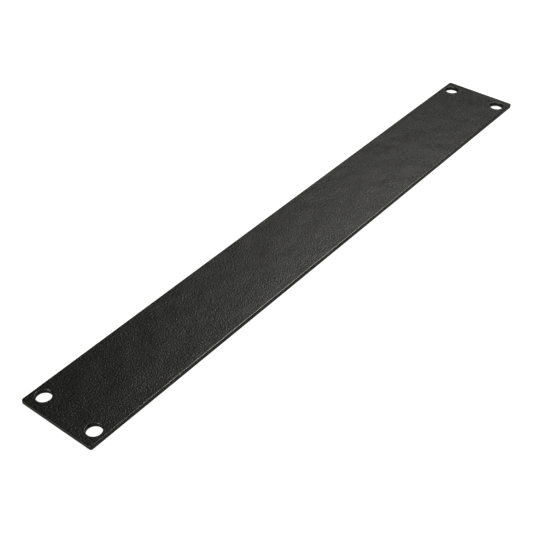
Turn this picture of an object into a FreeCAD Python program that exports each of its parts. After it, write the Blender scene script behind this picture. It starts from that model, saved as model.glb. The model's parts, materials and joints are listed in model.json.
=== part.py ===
# Rack blanking panel, one rack unit high: a flat steel plate, coated all over, with a
# screw hole near each corner.
#
# It lies on its back. +X runs along the panel, +Y across its height as it stands in a rack,
# and +Z points out of the front face. The origin is the middle of the back face.

import FreeCAD, Part
import Sketcher
import math
import os

# alias, millimetres, meaning
SIZES = (
    ("panelLength", 355.6, "end to end, 14 inches"),
    ("rackUnitHeight", 44.45, "the height that the panel closes"),
    ("stackGap", 0.45, "left between this panel and the next"),
    ("plateThickness", 2.5, "steel sheet with its coating"),
    ("cornerRadius", 1.2, "the four corners, seen from the front"),
    ("frontEdgeRadius", 0.6, "edges and hole rims rolled in by the punch, and coated"),
    ("backEdgeRadius", 0.4, "edges and hole rims deburred on the back, and coated"),
    ("holeDiameter", 7.5, "clearance for an M6 rack screw"),
    ("holeFromEnd", 7.9, "hole centre to the end of the panel"),
    ("holeFromUnitEdge", 6.35, "hole centre to the edge of the rack unit"),
)
PANEL_HEIGHT = "Sizes.rackUnitHeight - Sizes.stackGap"
HOLE_PITCH_ALONG = "Sizes.panelLength - 2 * Sizes.holeFromEnd"
HOLE_PITCH_ACROSS = "Sizes.rackUnitHeight - 2 * Sizes.holeFromUnitEdge"
LEVEL_TOLERANCE = 1e-4  # mm, for telling which face an edge lies on
SKETCH_ORIGIN = -1  # what a sketch calls its own centre
START, END, CENTRE = 1, 2, 3  # the points of a line or an arc


def add_sheet(doc):
    """The spreadsheet of driving dimensions, which every feature below is bound to."""
    sheet = doc.addObject("Spreadsheet::Sheet", "Sizes")
    for row, (alias, millimetres, meaning) in enumerate(SIZES, start=1):
        sheet.set(f"A{row}", alias)
        sheet.set(f"B{row}", str(millimetres))
        sheet.set(f"C{row}", meaning)
        sheet.setAlias(f"B{row}", alias)
    doc.recompute()
    return sheet


def origin_feature(body, role):
    """One of the body's own origin planes or axes."""
    return next(feature for feature in body.Origin.OriginFeatures if feature.Role == role)


def add_sketch(body, name):
    """An empty sketch on the plane of the back face."""
    sketch = body.newObject("Sketcher::SketchObject", name)
    sketch.AttachmentSupport = [(origin_feature(body, "XY_Plane"), "")]
    sketch.MapMode = "FlatFace"
    return sketch


def add_size(sketch, name, formula, *constraint):
    """A named sketch dimension that follows the spreadsheet."""
    value = sketch.evalExpression(formula)
    index = sketch.addConstraint(Sketcher.Constraint(*constraint, value))
    sketch.renameConstraint(index, name)
    sketch.setExpression(f"Constraints.{name}", formula)


def draw_outline(body, sheet):
    """The blank's outline: four sides and four rounded corners, centred on the origin."""
    sketch = add_sketch(body, "Outline")
    radius = sheet.cornerRadius
    half_length = sheet.panelLength / 2
    half_height = sketch.evalExpression(PANEL_HEIGHT) / 2
    centre_x = half_length - radius
    centre_y = half_height - radius
    arcs = []
    for quarter, (x, y) in enumerate(((1, 1), (-1, 1), (-1, -1), (1, -1))):
        centre = FreeCAD.Vector(x * centre_x, y * centre_y, 0)
        circle = Part.Circle(centre, FreeCAD.Vector(0, 0, 1), radius)
        start = math.radians(90 * quarter)
        arc = Part.ArcOfCircle(circle, start, start + math.radians(90))
        arcs.append(sketch.addGeometry(arc, False))
    ends = (
        ((centre_x, half_height), (-centre_x, half_height)),
        ((-half_length, centre_y), (-half_length, -centre_y)),
        ((-centre_x, -half_height), (centre_x, -half_height)),
        ((half_length, -centre_y), (half_length, centre_y)),
    )
    sides = []
    for start, end in ends:
        side = Part.LineSegment(FreeCAD.Vector(*start, 0), FreeCAD.Vector(*end, 0))
        sides.append(sketch.addGeometry(side, False))
    top, left, bottom, right = sides

    for before, arc, after in zip((right, top, left, bottom), arcs, sides):
        sketch.addConstraint(Sketcher.Constraint("Tangent", before, END, arc, START))
        sketch.addConstraint(Sketcher.Constraint("Tangent", arc, END, after, START))
    for arc in arcs[1:]:
        sketch.addConstraint(Sketcher.Constraint("Equal", arcs[0], arc))
    for side in (top, bottom):
        sketch.addConstraint(Sketcher.Constraint("Horizontal", side))
    for side in (left, right):
        sketch.addConstraint(Sketcher.Constraint("Vertical", side))
    sketch.addConstraint(
        Sketcher.Constraint("Symmetric", top, START, bottom, START, SKETCH_ORIGIN, START)
    )
    add_size(sketch, "length", "Sizes.panelLength", "DistanceX", left, START, right, START)
    add_size(sketch, "height", PANEL_HEIGHT, "DistanceY", bottom, START, top, START)
    add_size(sketch, "corner", "Sizes.cornerRadius", "Radius", arcs[0])
    return sketch


def draw_screw_hole(body, sheet):
    """The hole in the corner at -X and -Y, drawn on the plane of the front face."""
    sketch = add_sketch(body, "ScrewHoleCircle")
    sketch.setExpression("AttachmentOffset.Base.z", "Sizes.plateThickness")
    centre = FreeCAD.Vector(-sketch.evalExpression(HOLE_PITCH_ALONG) / 2,
                            -sketch.evalExpression(HOLE_PITCH_ACROSS) / 2, 0)
    circle = Part.Circle(centre, FreeCAD.Vector(0, 0, 1), sheet.holeDiameter / 2)
    hole = sketch.addGeometry(circle, False)
    middle = (SKETCH_ORIGIN, START)
    add_size(sketch, "toMiddleAlong", f"({HOLE_PITCH_ALONG}) / 2", "DistanceX", hole, CENTRE, *middle)
    add_size(sketch, "toMiddleAcross", f"({HOLE_PITCH_ACROSS}) / 2", "DistanceY", hole, CENTRE, *middle)
    add_size(sketch, "diameter", "Sizes.holeDiameter", "Diameter", hole)
    return sketch


def rim_edges(shape, level):
    """Names of the edges that lie flat at one height: the outline and the hole rims there."""
    names = []
    for number, edge in enumerate(shape.Edges, start=1):
        box = edge.BoundBox
        if max(abs(box.ZMin - level), abs(box.ZMax - level)) < LEVEL_TOLERANCE:
            names.append(f"Edge{number}")
    return names


def add_rim_round(body, name, base, level, formula):
    """Rounds every edge of the face at one height."""
    fillet = body.newObject("PartDesign::Fillet", name)
    fillet.Base = (base, rim_edges(base.Shape, level))
    fillet.setExpression("Radius", formula)
    body.Document.recompute()
    return fillet


def add_blanking_panel(doc, sheet):
    """The panel: a blank sheared from sheet, four screw holes, and softened edges."""
    body = doc.addObject("PartDesign::Body", "blanking_panel")
    body.Label = "blanking_panel"

    plate = body.newObject("PartDesign::Pad", "Plate")
    plate.Profile = draw_outline(body, sheet)
    plate.setExpression("Length", "Sizes.plateThickness")
    doc.recompute()

    hole_circle = draw_screw_hole(body, sheet)
    doc.recompute()
    hole = body.newObject("PartDesign::Hole", "ScrewHole")
    hole.Profile = hole_circle
    hole.DepthType = "ThroughAll"
    hole.setExpression("Diameter", "Sizes.holeDiameter")
    doc.recompute()

    holes = body.newObject("PartDesign::LinearPattern", "ScrewHoles")
    holes.Originals = [hole]
    holes.Direction = (origin_feature(body, "X_Axis"), [""])
    holes.Occurrences = 2
    holes.setExpression("Length", HOLE_PITCH_ALONG)
    holes.Direction2 = (origin_feature(body, "Y_Axis"), [""])
    holes.Occurrences2 = 2
    holes.setExpression("Length2", HOLE_PITCH_ACROSS)
    body.Tip = holes
    doc.recompute()

    front = add_rim_round(body, "FrontEdges", holes, sheet.plateThickness,
                          "Sizes.frontEdgeRadius")
    body.Tip = add_rim_round(body, "BackEdges", front, 0.0, "Sizes.backEdgeRadius")
    doc.recompute()
    return body


def check(doc, body, sheet):
    """Stops on a failed feature, a bad solid, or a hole that did not cut right through."""
    for item in doc.Objects:
        if "Invalid" in item.State or "Error" in item.State:
            raise RuntimeError(f"{item.Name} failed: {item.State}")
    shape = body.Shape
    if shape.isNull() or not shape.isValid() or len(shape.Solids) != 1:
        raise RuntimeError(f"{body.Label} is not one valid solid")
    holes = doc.getObject("ScrewHoles")
    cut_away = doc.getObject("Plate").Shape.Volume - holes.Shape.Volume
    one_hole = math.pi * (sheet.holeDiameter / 2) ** 2 * sheet.plateThickness
    if not math.isclose(cut_away, holes.Occurrences * holes.Occurrences2 * one_hole, rel_tol=1e-6):
        raise RuntimeError(f"the screw holes cut {cut_away:.3f} mm3 and not all their volume")


def main():
    doc = FreeCAD.newDocument("RackBlankingPanel")
    sheet = add_sheet(doc)
    panel = add_blanking_panel(doc, sheet)
    check(doc, panel, sheet)
    os.makedirs("parts", exist_ok=True)
    panel.Shape.exportStep(f"parts/{panel.Label}.step")
    box = panel.Shape.optimalBoundingBox(False, False)
    print(f"{panel.Label}: {box.XLength:.2f} x {box.YLength:.2f} x {box.ZLength:.2f} mm, "
          f"{panel.Shape.Volume:.0f} mm3, {len(panel.Shape.Faces)} faces")


main()
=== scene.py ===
import json
import math

import bpy
from mathutils import Euler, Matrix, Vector


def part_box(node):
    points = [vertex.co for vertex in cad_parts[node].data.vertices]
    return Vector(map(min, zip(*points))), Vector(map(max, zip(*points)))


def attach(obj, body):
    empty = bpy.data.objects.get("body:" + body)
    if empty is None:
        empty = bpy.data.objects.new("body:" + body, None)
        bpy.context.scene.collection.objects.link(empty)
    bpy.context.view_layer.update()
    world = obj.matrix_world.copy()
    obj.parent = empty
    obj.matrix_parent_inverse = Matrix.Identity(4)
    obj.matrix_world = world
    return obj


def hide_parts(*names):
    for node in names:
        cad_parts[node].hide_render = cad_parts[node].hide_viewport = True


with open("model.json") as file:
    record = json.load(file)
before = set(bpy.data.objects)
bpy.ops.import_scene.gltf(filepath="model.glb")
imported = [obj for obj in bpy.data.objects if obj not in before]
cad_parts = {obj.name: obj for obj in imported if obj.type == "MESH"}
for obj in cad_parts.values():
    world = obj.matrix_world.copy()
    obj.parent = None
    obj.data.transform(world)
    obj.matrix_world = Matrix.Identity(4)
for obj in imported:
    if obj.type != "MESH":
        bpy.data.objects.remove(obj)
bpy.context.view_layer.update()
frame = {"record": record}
scene = bpy.context.scene
mm = 0.001

panelLow, panelHigh = (Vector(corner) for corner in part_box("blanking_panel"))
panelSize = panelHigh - panelLow
railScrews = next(m for m in frame["record"]["mounts"] if m["name"] == "rail_screws")["dims"]


def hexColour(text):  # an sRGB hex value as the linear colour that Blender works in
    channels = [int(text[i:i + 2], 16) / 255 for i in (1, 3, 5)]
    return [c / 12.92 if c <= 0.04045 else ((c + 0.055) / 1.055) ** 2.4 for c in channels] + [1]


def addNode(tree, kind, settings=None, links=None):  # links: input name or number -> output socket
    node = tree.nodes.new(kind)
    for name, value in (settings or {}).items():
        if isinstance(name, int) or name in node.inputs:
            node.inputs[name].default_value = value
        else:
            setattr(node, name, value)
    for name, socket in (links or {}).items():
        tree.links.new(socket, node.inputs[name])
    return node


def newMaterial(name):
    material = bpy.data.materials.new(name)
    material.use_nodes = True
    material.node_tree.nodes.clear()
    return material, material.node_tree


# Polyester powder coat, fine texture: sprayed as dry grains and melted, it cures to a matt skin of
# small merged beads. The eye gets black, a soft sheen at a low angle, and grain that glints.
powderCoat = {
    "black": "#111110",
    # the pits between beads are painted a darker black: painted shade in the recesses
    "blackWithPaintedShadeInPits": "#0a0a09",
    "ior": 1.5,
    "roughness": 0.35,
    "beadWidth": 0.85,    # mm, one merged bead
    "beadHeight": 0.23,    # mm
    "grainWidth": 0.45,   # mm, the powder's own grain
    "grainHeight": 0.06,
    "peelWidth": 12.0,   # mm, slow orange peel in the flow of the film
    "peelHeight": 0.36,
    "sheenWithPaintedShadeInPits": 0.25,  # Specular IOR Level, lowered in the pits between beads: painted shade in the recesses
    "sheenOnBeads": 0.75,
}

# Along the outer rims the melting coat draws itself smooth, and its sheen is raised there: the thin clean
# line of light is partly the smoother coat and partly a painted highlight
rimCoatWithPaintedHighlight = {**powderCoat, "roughness": 0.22, "beadHeight": 0.03, "grainHeight": 0.015,
           "peelHeight": 0.15, "sheenWithPaintedShadeInPits": 0.6, "sheenOnBeads": 0.9}


def powderCoatMaterial(name, coat):
    material, tree = newMaterial(name)
    place = addNode(tree, "ShaderNodeTexCoord").outputs["Object"]
    beads = addNode(tree, "ShaderNodeTexNoise",
                    {"Scale": 1 / (coat["beadWidth"] * mm), "Detail": 2.0, "Roughness": 0.55},
                    {"Vector": place}).outputs["Fac"]
    grain = addNode(tree, "ShaderNodeTexNoise",
                    {"Scale": 1 / (coat["grainWidth"] * mm), "Detail": 1.0},
                    {"Vector": place}).outputs["Fac"]
    peel = addNode(tree, "ShaderNodeTexNoise",
                   {"Scale": 1 / (coat["peelWidth"] * mm), "Detail": 1.0},
                   {"Vector": place}).outputs["Fac"]
    peelBump = addNode(tree, "ShaderNodeBump",
                       {"Strength": 1.0, "Distance": coat["peelHeight"] * mm}, {"Height": peel})
    beadBump = addNode(tree, "ShaderNodeBump",
                       {"Strength": 1.0, "Distance": coat["beadHeight"] * mm},
                       {"Height": beads, "Normal": peelBump.outputs["Normal"]})
    grainBump = addNode(tree, "ShaderNodeBump",
                        {"Strength": 1.0, "Distance": coat["grainHeight"] * mm},
                        {"Height": grain, "Normal": beadBump.outputs["Normal"]})
    # mixes the painted shade into the pits, where the bead noise is low
    colour = addNode(tree, "ShaderNodeMix",  # inputs 6 and 7 are its two colours
                     {"data_type": "RGBA", 6: hexColour(coat["blackWithPaintedShadeInPits"]), 7: hexColour(coat["black"])},
                     {0: beads})
    # the lower sheen in the pits is painted shade
    sheen = addNode(tree, "ShaderNodeMapRange",  # the noise itself seldom leaves 0.3 to 0.7
                    {"From Min": 0.3, "From Max": 0.7, "To Min": coat["sheenWithPaintedShadeInPits"],
                     "To Max": coat["sheenOnBeads"]}, {"Value": beads})
    shader = addNode(tree, "ShaderNodeBsdfPrincipled",
                     {"IOR": coat["ior"], "Roughness": coat["roughness"]},
                     {"Base Color": colour.outputs[2], "Normal": grainBump.outputs["Normal"],
                      "Specular IOR Level": sheen.outputs[0]})
    addNode(tree, "ShaderNodeOutputMaterial", {}, {"Surface": shader.outputs[0]})
    return material


# The panel: sheet steel, sheared, punched, deburred and coated
panelShape = {
    "cornerRadius": 1.2,  # mm, seen from the front
    "frontRadius": 0.6,   # mm, rolled in by the punch
    "backRadius": 0.4,    # mm, deburred
    "cornerSteps": 10,
    "holeSteps": 72,
    "frontSteps": 6,
    "backSteps": 4,
    "near": 0.01,         # mm, how close an edge lies to a rim to belong to it
}


def deselectAll():
    if bpy.context.object and bpy.context.object.mode != "OBJECT":
        bpy.ops.object.mode_set(mode="OBJECT")
    bpy.ops.object.select_all(action="DESELECT")


def selectEdges(piece, wanted):  # in edit mode, selects the edges that wanted(edge ends) accepts
    bpy.ops.mesh.select_mode(type="EDGE")
    bpy.ops.mesh.select_all(action="DESELECT")
    bpy.ops.object.mode_set(mode="OBJECT")
    points = piece.data.vertices
    for edge in piece.data.edges:
        edge.select = wanted(*(points[i].co for i in edge.vertices))
    bpy.ops.object.mode_set(mode="EDIT")


def modelPanel(shape):
    near = shape["near"] * mm
    holeX, holeY = (railScrews[key] / 2 * mm for key in ("spacing_x_mm", "spacing_y_mm"))
    holeRadius = railScrews["hole_r_mm"] * mm

    deselectAll()
    bpy.ops.mesh.primitive_cube_add(size=1, location=(panelLow + panelHigh) / 2)
    panel = bpy.context.object
    panel.name = panel.data.name = "coatedPanel"
    panel.scale = panelSize
    bpy.ops.object.transform_apply(location=True, rotation=True, scale=True)
    bpy.ops.object.mode_set(mode="EDIT")
    for x in (-holeX, holeX):  # a seam through each pair of holes, so that no face has a hole in it
        bpy.ops.mesh.select_all(action="SELECT")
        bpy.ops.mesh.bisect(plane_co=(x, 0, 0), plane_no=(1, 0, 0))
    selectEdges(panel, lambda start, end: abs(start.z - end.z) > panelSize.z / 2
                and abs(start.x) > panelSize.x / 2 - near)  # the four upright corner edges
    bpy.ops.mesh.bevel(offset=shape["cornerRadius"] * mm, segments=shape["cornerSteps"],
                       affect="EDGES")

    deselectAll()
    punches = []
    for x in (-holeX, holeX):
        for y in (-holeY, holeY):
            bpy.ops.mesh.primitive_cylinder_add(vertices=shape["holeSteps"], radius=holeRadius,
                                                depth=3 * panelSize.z, location=(x, y, panelSize.z / 2))
            punches.append(bpy.context.object)
    for punch in punches:
        punch.select_set(True)
    bpy.ops.object.join()
    punchSet = bpy.context.object
    deselectAll()
    bpy.context.view_layer.objects.active = panel
    panel.select_set(True)
    holes = panel.modifiers.new("holes", "BOOLEAN")
    holes.operation = "DIFFERENCE"
    holes.solver = "EXACT"
    holes.object = punchSet
    bpy.ops.object.modifier_apply(modifier=holes.name)
    bpy.data.objects.remove(punchSet)

    def outsideOutline(point):  # distance to the rounded rectangle, below zero within it
        x = abs(point.x) - panelSize.x / 2 + shape["cornerRadius"] * mm
        y = abs(point.y) - panelSize.y / 2 + shape["cornerRadius"] * mm
        return (math.hypot(x, y) if x > 0 and y > 0 else max(x, y)) - shape["cornerRadius"] * mm

    def outsideHole(point):
        return math.hypot(abs(point.x) - holeX, abs(point.y) - holeY) - holeRadius

    def onRim(level):  # the outline's and the holes' own edges, none that crosses the flat
        def wanted(start, end):
            spots = (start, (start + end) / 2, end)
            return (all(abs(spot.z - level) < near for spot in spots)
                    and any(all(abs(gap(spot)) < near for spot in spots)
                            for gap in (outsideOutline, outsideHole)))
        return wanted

    bpy.ops.object.mode_set(mode="EDIT")
    for level, radius, steps in ((panelHigh.z, shape["frontRadius"], shape["frontSteps"]),
                                 (panelLow.z, shape["backRadius"], shape["backSteps"])):
        selectEdges(panel, onRim(level))
        bpy.ops.mesh.bevel(offset=radius * mm, segments=steps, profile=0.5, affect="EDGES")
    bpy.ops.object.mode_set(mode="OBJECT")
    return panel


panel = modelPanel(panelShape)
print("panel modelled:", len(panel.data.vertices), "points", len(panel.data.polygons), "faces")


def finishPanel(panel):
    for face in panel.data.polygons:
        face.use_smooth = True
    deselectAll()
    bpy.context.view_layer.objects.active = panel
    panel.select_set(True)
    flats = panel.modifiers.new("flats", "WEIGHTED_NORMAL")  # the flats stay flat, the rims turn
    flats.weight = 100
    flats.keep_sharp = False
    bpy.ops.object.modifier_apply(modifier=flats.name)
    panel.data.materials.append(powderCoatMaterial("blackPowderCoat", powderCoat))
    panel.data.materials.append(powderCoatMaterial("blackPowderCoatOnRimsPaintedHighlight", rimCoatWithPaintedHighlight))
    # the straight outer rims get the copy of the coat whose raised sheen is a painted highlight
    for face in panel.data.polygons:
        gaps = (panelSize.x / 2 - abs(face.center.x), panelSize.y / 2 - abs(face.center.y))
        straight = min(gaps) < 2 * mm < max(gaps)  # along an outer side and not round its corners
        if straight and 0.02 < abs(face.normal.z) < 0.98:  # neither flat nor cut side
            face.material_index = 1


finishPanel(panel)
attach(panel, "root")
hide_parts("blanking_panel")
print("panel coated")


def whiteSeen(tree, share):  # 1 to the camera and through glass, the share in a reflection
    rays = addNode(tree, "ShaderNodeLightPath").outputs
    inSheen = addNode(tree, "ShaderNodeMath", {"operation": "MULTIPLY_ADD", 1: share},
                      {0: rays["Is Glossy Ray"], 2: rays["Is Transmission Ray"]})
    seen = addNode(tree, "ShaderNodeMath", {"operation": "ADD", "use_clamp": True},
                   {0: rays["Is Camera Ray"], 1: inSheen.outputs[0]})
    return seen.outputs[0]


# Pale floor: white to the eye, grey to the coat's reflections, and it keeps the panel's shadow
studioFloor = {
    "size": 20.0,  # m
    "colour": "#8e8e8c",
    "white": 0.93,
    "whiteInSheen": 0.1,  # the share that the coat's sheen shows: its cut sides stay near black
    "roughness": 0.9,
    "gapUnderPanel": 0.05,  # mm, so that floor and back face do not share a plane
}


def modelFloor(settings):
    deselectAll()
    bpy.ops.mesh.primitive_plane_add(size=settings["size"],
                                     location=(0, 0, panelLow.z - settings["gapUnderPanel"] * mm))
    floor = bpy.context.object
    floor.name = floor.data.name = "studioFloor"
    material, tree = newMaterial("paleStudioFloor")
    seen = whiteSeen(tree, settings["whiteInSheen"])
    paper = addNode(tree, "ShaderNodeBsdfPrincipled",
                    {"Base Color": hexColour(settings["colour"]), "Roughness": settings["roughness"],
                     "Specular IOR Level": 0.0})
    glow = addNode(tree, "ShaderNodeMath", {"operation": "MULTIPLY", 1: settings["white"]},
                   {0: seen})
    white = addNode(tree, "ShaderNodeEmission", {"Color": (1, 1, 1, 1)}, {"Strength": glow.outputs[0]})
    both = addNode(tree, "ShaderNodeAddShader", {}, {0: paper.outputs[0], 1: white.outputs[0]})
    addNode(tree, "ShaderNodeOutputMaterial", {}, {"Surface": both.outputs[0]})
    floor.data.materials.append(material)
    return floor


modelFloor(studioFloor)


# World: white to the camera, faint in the coat's sheen, and no light of its own on the panel
room = {"white": 1.0, "whiteInSheen": 0.03}


def makeWorld(settings):
    world = bpy.data.worlds.new("studioRoom")
    world.use_nodes = True
    scene.world = world
    tree = world.node_tree
    tree.nodes.clear()
    glow = addNode(tree, "ShaderNodeMath", {"operation": "MULTIPLY", 1: settings["white"]},
                   {0: whiteSeen(tree, settings["whiteInSheen"])})
    white = addNode(tree, "ShaderNodeBackground", {"Color": (1, 1, 1, 1)}, {"Strength": glow.outputs[0]})
    addNode(tree, "ShaderNodeOutputWorld", {}, {"Surface": white.outputs[0]})


makeWorld(room)

# Soft lamps: place and size in metres, power in watts; each one faces the middle of the panel
softLamps = {
    "softbox": {"place": (0.66, 0.28, 0.90), "size": (0.60, 0.60), "power": 1.35},
    "smallSoftbox": {"place": (0.45, 0.12, 0.62), "size": (0.20, 0.20), "power": 1.3},
    "cameraFill": {"place": (-0.95, -0.75, 0.70), "size": (1.40, 1.40), "power": 3.3},
    "endFill": {"place": (-1.10, 0.12, 0.30), "size": (0.50, 0.50), "power": 11.5},
    "rimStrip": {"place": (0.50, -0.10, 0.58), "size": (0.12, 0.30), "power": 1.5},
    "rimLamp": {"place": (0.30, -0.12, 0.65), "size": (0.10, 0.12), "power": 1.05},
    "sideStrip": {"place": (0.20, -0.56, 0.45), "size": (0.20, 0.10), "power": 0.45},
}
lampColour = "#fffef7"


def hangLamp(name, settings):
    data = bpy.data.lights.new(name, "AREA")
    data.shape = "RECTANGLE"
    data.size, data.size_y = settings["size"]
    data.energy = settings["power"]
    data.color = hexColour(lampColour)[:3]
    lamp = bpy.data.objects.new(name, data)
    scene.collection.objects.link(lamp)
    lamp.location = settings["place"]
    lamp.rotation_euler = (-lamp.location).to_track_quat("-Z", "Y").to_euler()


for name, settings in softLamps.items():
    hangLamp(name, settings)

# Camera: looks down along the panel from beside its near end
viewpoint = {
    "azimuth": 50.464,    # degrees, from +Y towards +X
    "elevation": 39.060,  # degrees above the panel
    "roll": -0.687,       # degrees
    "distance": 0.53156,  # m, to the aim point
    "aim": (-0.039747, -0.004072),  # m, on the front face
    "lens": 71.524,       # mm, on a 36 mm frame
}


def placeCamera(settings):
    data = bpy.data.cameras.new("camera")
    data.lens = settings["lens"]
    data.sensor_width = 36
    data.clip_start = 0.01
    camera = bpy.data.objects.new("camera", data)
    scene.collection.objects.link(camera)
    azimuth, elevation = math.radians(settings["azimuth"]), math.radians(settings["elevation"])
    look = Vector((math.sin(azimuth) * math.cos(elevation), math.cos(azimuth) * math.cos(elevation),
                   -math.sin(elevation)))
    level = Euler((math.pi / 2 - elevation, 0, -azimuth)).to_quaternion()
    turn = level @ Euler((0, 0, math.radians(settings["roll"]))).to_quaternion()
    camera.rotation_euler = turn.to_euler()
    camera.location = Vector((*settings["aim"], panelHigh.z)) - look * settings["distance"]
    scene.camera = camera


placeCamera(viewpoint)
scene.view_settings.view_transform = "Standard"
print("stage set")
